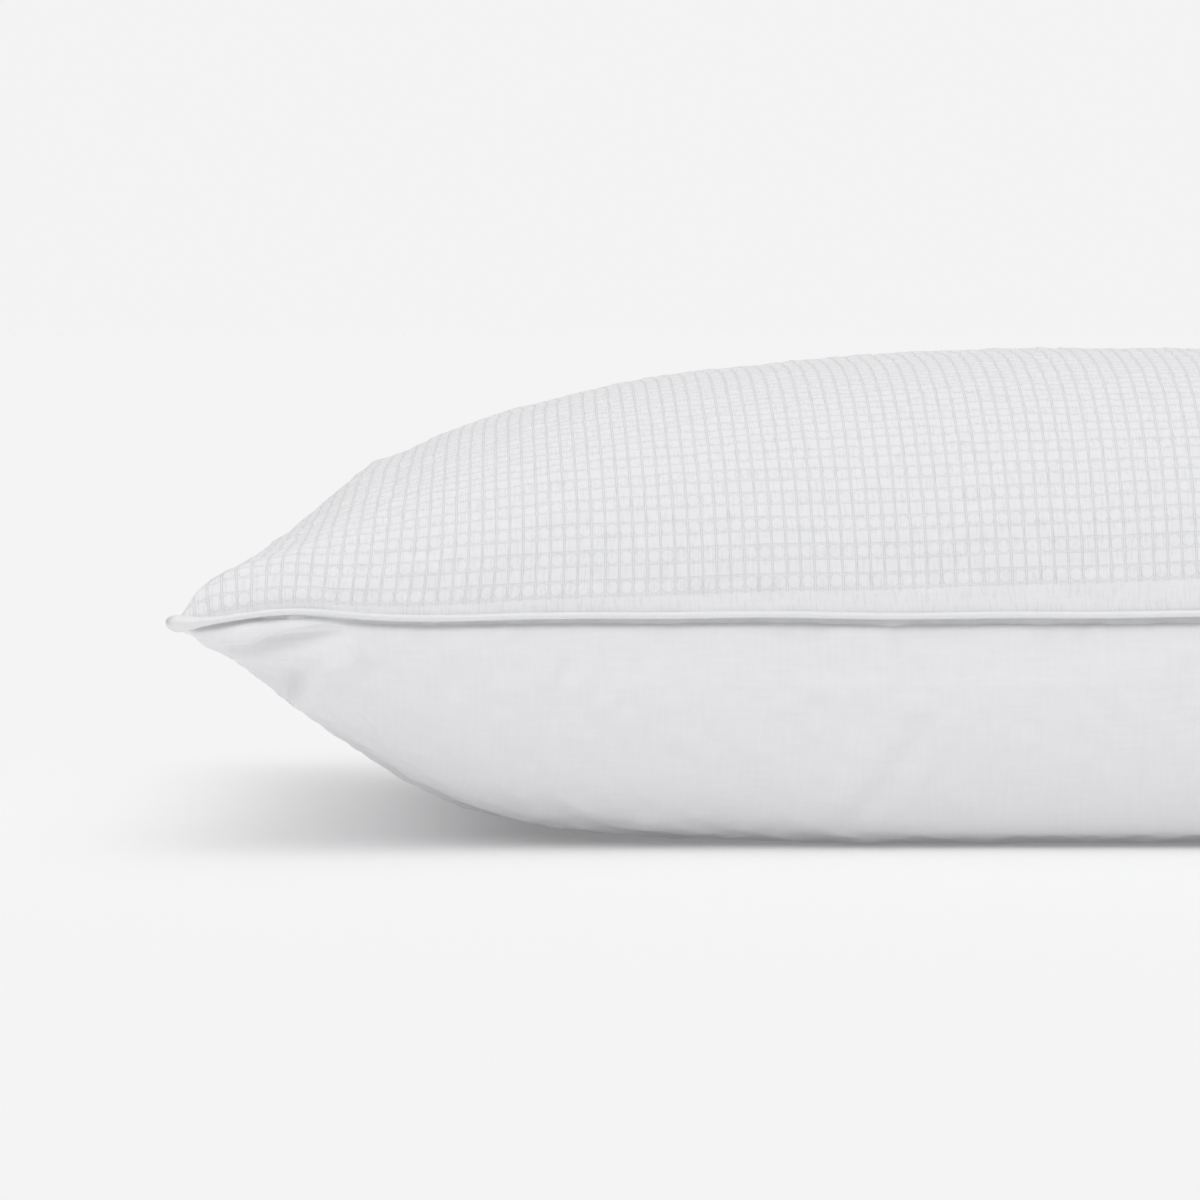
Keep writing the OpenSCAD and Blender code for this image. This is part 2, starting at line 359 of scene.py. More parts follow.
def fold(path, width, height, steep=1.0, steep_side=1):
    """Height of a fold that runs along the path on the cut cloth and dies away at its two ends. Its left
    side, seen along the path, is steeper where steep is below one; steep_side -1 makes that the right."""
    end_share = 0.02
    end_softness = 0.7
    path = np.array(path)
    runs = np.linalg.norm(np.diff(path, axis=0), axis=1)
    start = np.concatenate([[0], np.cumsum(runs)])
    nearest = np.full(cut_place.shape[:2], np.inf)
    reached = np.zeros(cut_place.shape[:2])
    left = np.zeros(cut_place.shape[:2])
    for k, run in enumerate(runs):
        step = (path[k + 1] - path[k]) / run
        offset = cut_place - path[k]
        along = np.clip(offset @ step, 0, run)
        gap = np.linalg.norm(offset - along[..., None] * step, axis=-1)
        closer = gap < nearest
        nearest = np.where(closer, gap, nearest)
        reached = np.where(closer, (start[k] + along) / start[-1], reached)
        across = step[0] * offset[..., 1] - step[1] * offset[..., 0]
        left = np.where(closer, across * steep_side > 0, left)
    ends = np.sin(math.pi * np.clip(reached, end_share, 1 - end_share)) ** end_softness
    return height * ends * np.exp(-(nearest / (width * np.where(left > 0, steep, 1))) ** 2)


def puckers(spacing, depth, reach, seed):
    """Small gathers that the stitching draws in along the seam."""
    change_of_depth = 0.06
    change_of_length = 0.02
    held_by_seam = 0.003
    strength = 0.55 + 0.45 * wavering(along_seam, change_of_depth, seed + 1)
    length = reach * (1 + 0.5 * wavering(along_seam, change_of_length, seed + 2))
    return (depth * strength * wavering(along_seam, spacing, seed)
            * np.exp(-from_seam / length) * (1 - np.exp(-from_seam / held_by_seam)))


def hump(distance, length):
    """1 at no distance, falling smoothly to almost nothing at twice the length."""
    return np.exp(-(distance / length) ** 2)


def off_seam(length):
    """0 at the seam, rising evenly to 1 at the length from it."""
    return np.clip(from_seam / length, 0, 1)


def from_a_corner(path, end, side):
    """A path given as distances in from one corner of the cut cloth, along its length and its width."""
    return [(end * (cut_length / 2 - inward), side * (cut_width / 2 - across)) for inward, across in path]


# Each corner of the underside folds as the seam bends: a lip under the piping with a hollow below it, a
# second rounded fold, and a crease that turns down from it. Path, width, height and steepness for each.
under_corner_folds = [
    ([(0.004, 0.002), (0.020, 0.0085), (0.034, 0.0085), (0.050, 0.0055), (0.066, 0.002)],
     0.0060, 0.0030, 0.26),
    ([(0.014, 0.013), (0.028, 0.0135), (0.044, 0.0105), (0.070, 0.006)], 0.0022, -0.0026, 1.5),
    ([(0.018, 0.023), (0.042, 0.0185), (0.060, 0.0135), (0.074, 0.0095)], 0.0036, 0.0026, 1.4),
    ([(0.076, 0.015), (0.061, 0.020), (0.055, 0.028), (0.051, 0.042), (0.052, 0.062)], 0.0120, 0.0048, 0.3),
    ([(0.052, 0.022), (0.040, 0.034), (0.038, 0.052)], 0.0100, -0.0040, 1.2),
    ([(0.064, 0.004), (0.070, 0.012), (0.080, 0.017)], 0.0030, 0.0014, 0.5),
    ([(0.074, 0.020), (0.088, 0.030), (0.104, 0.036)], 0.0040, 0.0010, 1.0),
    ([(0.072, 0.034), (0.084, 0.048), (0.090, 0.062)], 0.0034, 0.0013, 0.6),
    ([(0.078, 0.044), (0.096, 0.052), (0.112, 0.054)], 0.0036, -0.0009, 1.0),
    ([(0.094, 0.004), (0.104, 0.016), (0.108, 0.030)], 0.0030, -0.0010, 1.0),
]
# The top's corners have two shallow bends where the filling thins out and two short folds beside the tip.
top_corner_folds = [
    ([(0.073, 0.060), (0.075, 0.120), (0.074, 0.250), (0.073, 0.330)], 0.013, 0.0024),
    ([(0.042, 0.030), (0.043, 0.100), (0.043, 0.220), (0.042, 0.310)], 0.013, -0.0016),
    ([(0.014, 0.008), (0.034, 0.022), (0.060, 0.036)], 0.0060, 0.0010),
    ([(0.030, 0.006), (0.052, 0.016), (0.080, 0.022)], 0.0050, -0.0008),
]
corner_strength = {(-1, -1): 1.3, (1, -1): 1.1, (-1, 1): 1.0, (1, 1): 1.2}
top_share = {-1: 0.8, 1: 0.4}
plump_radius = 0.042
plump_off_seam = 0.013
top_plumpness = 0.0096
under_plumpness = 0.0012
back_plumpness_share = 0.35
corner_plump = hump(from_corner, plump_radius) * (1 - hump(from_seam, plump_off_seam))
corner_plump *= np.where(cut_place[..., 1] > 0, back_plumpness_share, 1)
uneven_crown = (0.0015 * hump(from_middle - 0.268, 0.022) - 0.0012 * hump(from_middle - 0.13, 0.05)
                + 0.0013 * hump(from_middle, 0.05))
uneven_base = 0.0009 * hump(from_middle - 0.25, 0.05)
top_relief = top_plumpness * corner_plump + uneven_crown * off_seam(0.1)
top_relief += puckers(spacing=0.007, depth=0.0007, reach=0.012, seed=11)
top_relief += finer(top_wrinkles[..., None])[..., 0]
under_relief = under_plumpness * corner_plump + uneven_base * off_seam(0.05)
under_relief += puckers(spacing=0.0055, depth=0.0011, reach=0.014, seed=12)
under_relief += finer(under_wrinkles[..., None])[..., 0]
for (end, side), strength in corner_strength.items():
    for path, width, height, steep in under_corner_folds:
        under_relief += fold(from_a_corner(path, end, side), width, height * strength, steep, end * side)
    for path, width, height in top_corner_folds:
        top_relief += fold(from_a_corner(path, end, side), width, height * strength * top_share[side])

# Folds that the front of the underside shows: a gather off the seam that turns into two soft diagonal
# folds, and the faint line where the pillow lay folded in its pack.
front = -cut_width / 2
under_front_folds = [
    ([(-0.111, front + 0.001), (-0.105, front + 0.012), (-0.100, front + 0.025), (-0.089, front + 0.038)],
     0.0034, 0.0013),
    ([(-0.105, front + 0.001), (-0.097, front + 0.018), (-0.090, front + 0.029)], 0.0034, -0.0011),
    ([(-0.090, front + 0.026), (-0.110, front + 0.055), (-0.133, front + 0.088)], 0.0085, 0.0019),
    ([(-0.088, front + 0.037), (-0.101, front + 0.058), (-0.121, front + 0.088)], 0.0050, -0.0015),
    ([(-0.080, front + 0.040), (-0.093, front + 0.062), (-0.112, front + 0.090)], 0.0060, 0.0016),
    ([(0.120, front + 0.020), (0.150, front + 0.060), (0.160, front + 0.090)], 0.0080, 0.0014),
    ([(0.132, front + 0.018), (0.164, front + 0.058), (0.176, front + 0.086)], 0.0060, -0.0012),
    ([(-0.26, front + 0.0228), (-0.10, front + 0.0232), (0.06, front + 0.0228), (0.26, front + 0.023)],
     0.0016, 0.00035),
]
back_share = 0.8
for path, width, height in under_front_folds:
    under_relief += fold(path, width, height)
    under_relief += fold([(-x, -y) for x, y in path], width, back_share * height)

# Soft unevenness of the filling, a little closer near the corners, and the groove under the piping.
top_relief += 0.0009 * rumpled(cut_place, 0.055, 21) * off_seam(0.06)
top_relief += 0.0006 * rumpled(cut_place, 0.022, 22) * hump(from_corner, 0.09) * off_seam(0.01)
under_relief += 0.0009 * rumpled(cut_place, 0.05, 23) * off_seam(0.05)
under_relief += 0.0006 * rumpled(cut_place, 0.016, 24) * hump(from_corner, 0.085) * off_seam(0.01)
groove_depth = 0.0032
groove_inset = 0.0020
groove_width = 0.0015
under_relief -= groove_depth * hump(from_seam - groove_inset, groove_width)
top_case = top_case + outward(top_case, 1) * top_relief[..., None]
under_case = under_case + outward(under_case, -1) * under_relief[..., None]
under_case[..., 2] = np.maximum(under_case[..., 2], 0)


# ---- Top panel ----
# White jacquard cotton. Rows of raised discs and raised squares take turns, in columns with a double rib
# between them, and a plain border strip runs along each long edge. It is sewn into the seam all round.
def smooth_piece(name, points, faces, uv=None):
    """A smooth piece from points and faces, with its place on the flat cloth in metres as a UV map."""
    mesh = bpy.data.meshes.new(name)
    mesh.from_pydata(np.asarray(points).reshape(-1, 3).tolist(), [], np.asarray(faces).tolist())
    mesh.polygons.foreach_set("use_smooth", [True] * len(mesh.polygons))
    if uv is not None:
        cut = mesh.uv_layers.new(name="cut")
        cut.data.foreach_set("uv", np.asarray(uv, np.float32).ravel())
    piece = bpy.data.objects.new(name, mesh)
    bpy.context.scene.collection.objects.link(piece)
    return piece


# The filling pulls the weave a little askew beside the long seams, more towards the ends.
askew_share = 0.21
askew_place = 0.237
askew_growth = 2.5
most_askew = 1.5
askew_reach = 0.06
askew = askew_share * np.minimum((from_middle / askew_place) ** askew_growth, most_askew)
pulled = np.sign(cut_place[..., 0]) * askew * askew_reach * (1 - np.exp(-from_long_seam / askew_reach))
weave_place = np.stack([cut_place[..., 0] + pulled, cut_place[..., 1]], -1).reshape(-1, 2)


def panel_piece(name, surface, turned):
    ids = np.arange(surface[..., 0].size).reshape(surface.shape[:2])
    cells = grid_cells(ids, turned)
    return smooth_piece(name, surface, cells, weave_place[cells.ravel()])


def new_material(name):
    material = bpy.data.materials.new(name)
    material.use_nodes = True
    return material, material.node_tree, material.node_tree.nodes["Principled BSDF"]


def math_node(tree, operation, first, second=None, third=None):
    node = tree.nodes.new("ShaderNodeMath")
    node.operation = operation
    for socket, value in zip(node.inputs, (first, second, third)):
        if isinstance(value, bpy.types.NodeSocket):
            tree.links.new(value, socket)
        elif value is not None:
            socket.default_value = value
    return node.outputs[0]


def ramp(tree, value, start, end):
    """0 up to start, 1 from end on; start may be the larger of the two."""
    node = tree.nodes.new("ShaderNodeMapRange")
    node.interpolation_type = "SMOOTHSTEP"
    low, high = min(start, end), max(start, end)
    node.inputs["From Min"].default_value = low
    node.inputs["From Max"].default_value = high
    node.inputs["To Min"].default_value = 0 if start < end else 1
    node.inputs["To Max"].default_value = 1 if start < end else 0
    tree.links.new(value, node.inputs["Value"])
    return node.outputs[0]


def line_mask(tree, value, centre, thickness):
    """1 on the line where value equals centre, falling to 0 at thickness away."""
    gap = math_node(tree, "ABSOLUTE", math_node(tree, "SUBTRACT", value, centre))
    return ramp(tree, gap, thickness, 0)


def coloured(tree, shader, tone, colour):
    """Base colour that is the colour times the tone."""
    node = tree.nodes.new("ShaderNodeVectorMath")
    node.operation = "SCALE"
    node.inputs[0].default_value = colour
    tree.links.new(tone, node.inputs["Scale"])
    tree.links.new(node.outputs[0], shader.inputs["Base Color"])


def shades(tree, tone, least, spread):
    """A tone that runs from the least up by the spread."""
    return math_node(tree, "MULTIPLY_ADD", tone, spread, least)


def bumped(tree, shader, height, distance):
    node = tree.nodes.new("ShaderNodeBump")
    node.inputs["Distance"].default_value = distance
    node.inputs["Strength"].default_value = 1
    tree.links.new(height, node.inputs["Height"])
    tree.links.new(node.outputs[0], shader.inputs["Normal"])


def turned_place(tree, place, degrees):
    node = tree.nodes.new("ShaderNodeVectorRotate")
    node.rotation_type = "Z_AXIS"
    node.inputs["Angle"].default_value = math.radians(degrees)
    tree.links.new(place, node.inputs["Vector"])
    return node.outputs[0]


def on_cut_cloth(tree):
    node = tree.nodes.new("ShaderNodeUVMap")
    node.uv_map = "cut"
    return node.outputs[0]


def woven_threads_group():
    """Warp over and under weft, no two threads quite as thick: a height and a slight change of tone."""
    slub_across = 700
    slub_along = 70
    group = bpy.data.node_groups.new("woven threads", "ShaderNodeTree")
    group.interface.new_socket("Place", in_out="INPUT", socket_type="NodeSocketVector")
    group.interface.new_socket("Threads per metre", in_out="INPUT", socket_type="NodeSocketFloat")
    group.interface.new_socket("Height", in_out="OUTPUT", socket_type="NodeSocketFloat")
    group.interface.new_socket("Tone", in_out="OUTPUT", socket_type="NodeSocketFloat")
    ends = group.nodes.new("NodeGroupInput").outputs
    out = group.nodes.new("NodeGroupOutput").inputs
    split = group.nodes.new("ShaderNodeSeparateXYZ")
    group.links.new(ends["Place"], split.inputs[0])
    turns = math_node(group, "MULTIPLY", ends["Threads per metre"], math.pi)
    warp = math_node(group, "SINE", math_node(group, "MULTIPLY", split.outputs["X"], turns))
    weft = math_node(group, "SINE", math_node(group, "MULTIPLY", split.outputs["Y"], turns))
    over = math_node(group, "MULTIPLY", warp, weft)
    group.links.new(math_node(group, "MULTIPLY_ADD", over, 0.5, 0.5), out["Height"])
    slubs = []
    for stretch in ((slub_across, slub_along, 1), (slub_along, slub_across, 1)):
        longer = group.nodes.new("ShaderNodeVectorMath")
        longer.operation = "MULTIPLY"
        longer.inputs[1].default_value = stretch
        group.links.new(ends["Place"], longer.inputs[0])
        noise = group.nodes.new("ShaderNodeTexNoise")
        noise.noise_dimensions = "2D"
        noise.inputs["Scale"].default_value = 1
        noise.inputs["Detail"].default_value = 1
        group.links.new(longer.outputs[0], noise.inputs["Vector"])
        slubs.append(noise.outputs["Fac"])
    group.links.new(math_node(group, "MULTIPLY", math_node(group, "ADD", *slubs), 0.5), out["Tone"])
    return group


woven_threads = woven_threads_group()


def add_threads(tree, place, threads_per_metre):
    node = tree.nodes.new("ShaderNodeGroup")
    node.node_tree = woven_threads
    tree.links.new(place, node.inputs["Place"])
    node.inputs["Threads per metre"].default_value = threads_per_metre
    return node.outputs["Height"], node.outputs["Tone"]


def jacquard_material():
    material, tree, shader = new_material("jacquard cotton")
    column = 0.00534
    row = 0.00539
    off_grain = -1.5
    border_start = 0.2379
    border_edge = 0.0003
    square_rounding = 0.1
    raised_edge = (0.465, 0.425)
    outline_place = 0.445
    outline_thickness = 0.035
    rib_line_place = 0.432
    rib_line_thickness = 0.036
    row_line_place = 0.478
    row_line_thickness = 0.03
    rib_edge = (0.46, 0.485)
    rib_height = 0.6
    outline_dark = 0.75
    row_line_dark = 0.12
    needle_mark_dark = 0.3
    needle_mark_edge = (0.5, 0.72)
    needle_marks_a_metre = (1100, 160, 1)
    lines_darken = -0.21
    ground_darkens = -0.03
    thread_height = 0.12
    relief_height = 0.00006
    grid_place = turned_place(tree, on_cut_cloth(tree), off_grain)
    split = tree.nodes.new("ShaderNodeSeparateXYZ")
    tree.links.new(grid_place, split.inputs[0])
    columns = math_node(tree, "DIVIDE", split.outputs["X"], column)
    rows = math_node(tree, "DIVIDE", split.outputs["Y"], row)
    in_column = math_node(tree, "SUBTRACT", math_node(tree, "FRACT", columns), 0.5)
    in_row = math_node(tree, "SUBTRACT", math_node(tree, "FRACT", rows), 0.5)
    sideways = math_node(tree, "ABSOLUTE", in_column)
    lengthways = math_node(tree, "ABSOLUTE", in_row)

    # Discs in one row and rounded squares in the next.
    row_pair = math_node(tree, "FRACT", math_node(tree, "MULTIPLY", rows, 0.5))
    disc_row = math_node(tree, "LESS_THAN", row_pair, 0.5)
    square_row = math_node(tree, "SUBTRACT", 1, disc_row)
    lengthways_squared = math_node(tree, "MULTIPLY", lengthways, lengthways)
    centre_distance = math_node(tree, "SQRT", math_node(tree, "MULTIPLY_ADD", sideways, sideways,
                                                        lengthways_squared))
    side_distance = math_node(tree, "SMOOTH_MAX", sideways, lengthways, square_rounding)
    in_square = math_node(tree, "MULTIPLY", side_distance, square_row)
    shape = math_node(tree, "MULTIPLY_ADD", centre_distance, disc_row, in_square)
    raised = ramp(tree, shape, *raised_edge)
    rib = ramp(tree, sideways, *rib_edge)
    from_middle_line = math_node(tree, "ABSOLUTE", split.outputs["Y"])
    in_pattern = ramp(tree, from_middle_line, border_start + border_edge, border_start)

    # Darker lines where the weave changes, and fine needle marks over everything.
    outline = line_mask(tree, shape, outline_place, outline_thickness)
    rib_lines = line_mask(tree, sideways, rib_line_place, rib_line_thickness)
    row_lines = line_mask(tree, lengthways, row_line_place, row_line_thickness)
    dark = math_node(tree, "MAXIMUM", math_node(tree, "MULTIPLY", outline, outline_dark), rib_lines)
    dark = math_node(tree, "MAXIMUM", dark, math_node(tree, "MULTIPLY", row_lines, row_line_dark))
    dark = math_node(tree, "MULTIPLY", dark, in_pattern)
    needle_marks = tree.nodes.new("ShaderNodeTexNoise")
    needle_marks.noise_dimensions = "2D"
    needle_marks.inputs["Scale"].default_value = 1
    stretched = tree.nodes.new("ShaderNodeVectorMath")
    stretched.operation = "MULTIPLY"
    stretched.inputs[1].default_value = needle_marks_a_metre
    tree.links.new(grid_place, stretched.inputs[0])
    tree.links.new(stretched.outputs[0], needle_marks.inputs["Vector"])
    marks = ramp(tree, needle_marks.outputs["Fac"], *needle_mark_edge)
    dark = math_node(tree, "MULTIPLY_ADD", marks, needle_mark_dark, dark)
    threads_height, threads_tone = add_threads(tree, grid_place, threads_per_metre=3000)
    raised_in_pattern = math_node(tree, "MULTIPLY", raised, in_pattern)
    ground = math_node(tree, "SUBTRACT", in_pattern, raised_in_pattern)
    ground_tone = math_node(tree, "MULTIPLY_ADD", ground, ground_darkens, 1)
    pattern_tone = math_node(tree, "MULTIPLY_ADD", dark, lines_darken, ground_tone)
    tone = math_node(tree, "MULTIPLY", pattern_tone, shades(tree, threads_tone, least=0.96, spread=0.08))
    coloured(tree, shader, tone, (0.9, 0.9, 0.915))
    shader.inputs["Roughness"].default_value = 0.8
    shader.inputs["Specular IOR Level"].default_value = 0.2
    relief = math_node(tree, "MAXIMUM", raised, math_node(tree, "MULTIPLY", rib, rib_height))
    relief_in_pattern = math_node(tree, "MULTIPLY", relief, in_pattern)
    height = math_node(tree, "MULTIPLY_ADD", threads_height, thread_height, relief_in_pattern)
    bumped(tree, shader, height, relief_height)
    return material


top_panel = panel_piece("top_panel_cloth", top_case, False)
top_panel.data.materials.append(jacquard_material())
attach(top_panel, "root")
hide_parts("top_panel")


# ---- Underside panel ----
# Plain white cotton in a fine even weave, cut to the same size as the top panel and sewn to it with the
# piping between them. It puckers under the stitching and creases where the corners draw in.
def cotton_material():
    material, tree, shader = new_material("plain cotton")
    height, tone = add_threads(tree, on_cut_cloth(tree), threads_per_metre=3200)
    coloured(tree, shader, shades(tree, tone, least=0.965, spread=0.07), (0.9, 0.9, 0.92))
    shader.inputs["Roughness"].default_value = 0.9
    shader.inputs["Sheen Weight"].default_value = 0.05
    bumped(tree, shader, height, distance=0.00003)
    return material


under_panel = panel_piece("underside_panel_cloth", under_case, True)
under_panel.data.materials.append(cotton_material())
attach(under_panel, "root")
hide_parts("bottom_panel")


# ---- Piping ----
# A satin strip cut on the bias is folded round a cotton cord and sewn between the two panels, so a thin
# round edge stands out all along the seam. At each corner it turns in one small, thicker curve.
piping_radius = 0.00128
piping_tip_radius = 0.0031
piping_sides = 16
piping_overlap = 0.95
tip_length = 0.008
tip_tuck = 0.0026
satin_bias = 45


def seam_ring():
    """Points of the seam all round, from the front left tip along the front."""
    front_run, right_run = top_case[:-1, 0], top_case[-1, :-1]
    back_run, left_run = top_case[:0:-1, -1], top_case[0, :0:-1]
    return np.concatenate([front_run, right_run, back_run, left_run])


def outward_of(ring):
    """The level way out of the case at each point of the ring."""
    along = np.roll(ring, -1, 0) - np.roll(ring, 1, 0)
    side = np.stack([along[:, 1], -along[:, 0], np.zeros(len(ring))], -1)
    return side / np.linalg.norm(side, axis=1, keepdims=True)


def eased(values, passes):
    """Values round a ring, each averaged with its neighbours again and again."""
    for step in range(passes):
        values = (np.roll(values, 1, 0) + 2 * values + np.roll(values, -1, 0)) / 4
    return values


seam_path = seam_ring()
seam_out = eased(outward_of(seam_path), 4)
seam_out = seam_out / np.linalg.norm(seam_out, axis=1, keepdims=True)
tip_distance = np.hypot(half_length - corner_cut - np.abs(seam_path[:, 0]),
                        half_width - corner_cut - np.abs(seam_path[:, 1]))
at_tip = hump(tip_distance, tip_length)
piping_size = piping_radius + (piping_tip_radius - piping_radius) * at_tip


def run_along(path):
    """Distance run at each point of a closed path, and at its first point again."""
    run = np.concatenate([[0], np.cumsum(np.linalg.norm(np.diff(path, axis=0), axis=1))])
    return np.append(run, run[-1] + np.linalg.norm(path[0] - path[-1]))


def tube_mesh(path, out, sizes, sides, closed=True):
    """Points, faces and flat layout of a round tube along the path."""
    sizes = np.broadcast_to(sizes, len(path))[:, None, None]
    angles = np.linspace(0, 2 * math.pi, sides, endpoint=False)
    up = np.array([0, 0, 1])
    rings = path[:, None] + sizes * (np.cos(angles)[None, :, None] * out[:, None]
                                     + np.sin(angles)[None, :, None] * up)
    gaps = len(path) if closed else len(path) - 1
    i, k = np.meshgrid(np.arange(gaps), np.arange(sides), indexing="ij")
    n, m = (i + 1) % len(path), (k + 1) % sides
    faces = np.stack([i * sides + k, n * sides + k, n * sides + m, i * sides + m], -1).reshape(-1, 4)
    run = run_along(path)
    low = angles[k] * float(sizes.min())
    high = (angles[k] + 2 * math.pi / sides) * float(sizes.min())
    layout = np.stack([run[i], low, run[i + 1], low, run[i + 1], high, run[i], high], -1)
    return rings.reshape(-1, 3), faces, layout.reshape(-1, 2)


def joined_piece(name, parts):
    """One piece out of several sets of points, faces and layout."""
    first = np.concatenate([[0], np.cumsum([len(points) for points, faces, layout in parts])])
    faces = np.concatenate([faces + start for (points, faces, layout), start in zip(parts, first)])
    return smooth_piece(name, np.concatenate([part[0] for part in parts]), faces,
                        np.concatenate([part[2] for part in parts]))


def satin_material():
    material, tree, shader = new_material("satin")
    place = turned_place(tree, on_cut_cloth(tree), satin_bias)
    height, tone = add_threads(tree, place, threads_per_metre=3600)
    coloured(tree, shader, shades(tree, tone, least=0.96, spread=0.08), (0.88, 0.88, 0.89))
    shader.inputs["Roughness"].default_value = 0.28
    shader.inputs["Specular IOR Level"].default_value = 1
    bumped(tree, shader, height, distance=0.00005)
    return material


piping_centre = seam_path + seam_out * (piping_size * piping_overlap - tip_tuck * at_tip)[:, None]
piping_cover = joined_piece("piping_cover_satin",
                            [tube_mesh(piping_centre, seam_out, piping_size, piping_sides)])
piping_cover.data.materials.append(satin_material())
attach(piping_cover, "root")
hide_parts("piping_cover")


# ---- Filler cord ----
# A soft unbleached cotton cord, twisted from thick strands, lies inside the satin strip and gives the piping
# its round edge. The seam holds the strip closed round it, so it needs no stitch of its own.
def cord_material():
    material, tree, shader = new_material("filler cord")
    place = turned_place(tree, on_cut_cloth(tree), degrees=30)
    height, tone = add_threads(tree, place, threads_per_metre=1200)
    coloured(tree, shader, shades(tree, tone, least=0.94, spread=0.1), (0.82, 0.81, 0.78))
    shader.inputs["Roughness"].default_value = 0.9
    bumped(tree, shader, height, distance=0.0001)
    return material


cord_radius = 0.001
cord_sides = 8
filler_cord = joined_piece("filler_cord", [tube_mesh(piping_centre, seam_out, cord_radius, cord_sides)])
filler_cord.data.materials.append(cord_material())
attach(filler_cord, "root")
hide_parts("piping_cord")


# ---- Fibre filling ----
# Loose white polyester fibre fills the case right up to the cloth. It is blown in through an opening in one
# short side, and nothing but the case holds it.
def fibre_material():
    material, tree, shader = new_material("polyester fibre")
    place = tree.nodes.new("ShaderNodeTexCoord")
    clumps = tree.nodes.new("ShaderNodeTexNoise")
    clumps.inputs["Scale"].default_value = 90
    clumps.inputs["Detail"].default_value = 6
    tree.links.new(place.outputs["Object"], clumps.inputs["Vector"])
    tone = shades(tree, clumps.outputs["Fac"], least=0.85, spread=0.2)
    coloured(tree, shader, tone, (0.9, 0.9, 0.9))
    shader.inputs["Roughness"].default_value = 1
    bumped(tree, shader, clumps.outputs["Fac"], distance=0.002)
    return material


def filling_piece():
    """A closed mass just inside both panels, stopping short of the seam."""
    skip = 9
    every = 3
    inner = (slice(skip, -skip, every), slice(skip, -skip, every))
    inset = 0.0025
    over = (top_case - outward(top_case, 1) * inset)[inner]
    under = (under_case - outward(under_case, -1) * inset)[inner]
    ids = np.arange(over[..., 0].size).reshape(over.shape[:2])
    below = ids + ids.size
    rim = np.concatenate([ids[:-1, 0], ids[-1, :-1], ids[:0:-1, -1], ids[0, :0:-1]])
    rim_next = np.roll(rim, -1)
    side = np.stack([rim + ids.size, rim_next + ids.size, rim_next, rim], -1)
    faces = np.concatenate([grid_cells(ids, False), grid_cells(below, True), side])
    return smooth_piece("fibre_filling", np.concatenate([over.reshape(-1, 3), under.reshape(-1, 3)]), faces)


filling = filling_piece()
filling.data.materials.append(fibre_material())
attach(filling, "root")
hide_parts("fibre_fill")


# ---- Seam thread ----
# A lockstitch of white polyester thread runs all round just inside the piping, through both panels and the
# strip: the needle thread lies above the layers and the bobbin thread below them.
def thread_material():
    material, tree, shader = new_material("polyester thread")
    place = turned_place(tree, on_cut_cloth(tree), degrees=35)
    height, tone = add_threads(tree, place, threads_per_metre=5000)
    coloured(tree, shader, shades(tree, tone, least=0.95, spread=0.08), (0.9, 0.9, 0.9))
    shader.inputs["Roughness"].default_value = 0.5
    bumped(tree, shader, height, distance=0.00004)
    return material


thread_paint = thread_material()
thread_radius = 0.00025
thread_sides = 6
stitch_inset = 0.0016
layers_half = 0.0006
seam_line = seam_path - seam_out * stitch_inset
above_layers = tube_mesh(seam_line + (0, 0, layers_half), seam_out, thread_radius, thread_sides)
below_layers = tube_mesh(seam_line - (0, 0, layers_half), seam_out, thread_radius, thread_sides)
seam_thread = joined_piece("seam_thread_rows", [above_layers, below_layers])
seam_thread.data.materials.append(thread_paint)
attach(seam_thread, "root")
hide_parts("seam_thread")


# ---- Overedge thread ----
# A zigzag of the same thread wraps the raw edges of both seam allowances inside the case, so that they can't
# fray. It runs all round, a few millimetres inside the seam.
overedge_outer = 0.0055
overedge_inner = 0.0098
overedge_pitch = 0.003
corner_trim = 0.5
corner_trim_length = 0.012
around = run_along(seam_path)
turns = int(round(around[-1] / overedge_pitch))
places = np.arange(2 * turns) * around[-1] / (2 * turns)
ring_path = np.concatenate([seam_path, seam_path[:1]])
ring_out = np.concatenate([seam_out, seam_out[:1]])
ring_tip = np.concatenate([tip_distance, tip_distance[:1]])
edge_point = np.stack([np.interp(places, around, ring_path[:, k]) for k in range(3)], -1)
edge_out = np.stack([np.interp(places, around, ring_out[:, k]) for k in range(3)], -1)
edge_tip = np.interp(places, around, ring_tip)
inner_turn = np.arange(2 * turns) % 2
reach_in = np.where(inner_turn, overedge_inner, overedge_outer)
reach_in = reach_in * (1 - corner_trim * hump(edge_tip, corner_trim_length))
swing = np.where(inner_turn, layers_half, -layers_half)
zigzag = edge_point - edge_out * reach_in[:, None]
zigzag[:, 2] += swing
overedge = joined_piece("overedge_zigzag", [tube_mesh(zigzag, edge_out, thread_radius, thread_sides)])
overedge.data.materials.append(thread_paint)
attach(overedge, "root")
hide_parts("overedge_thread")


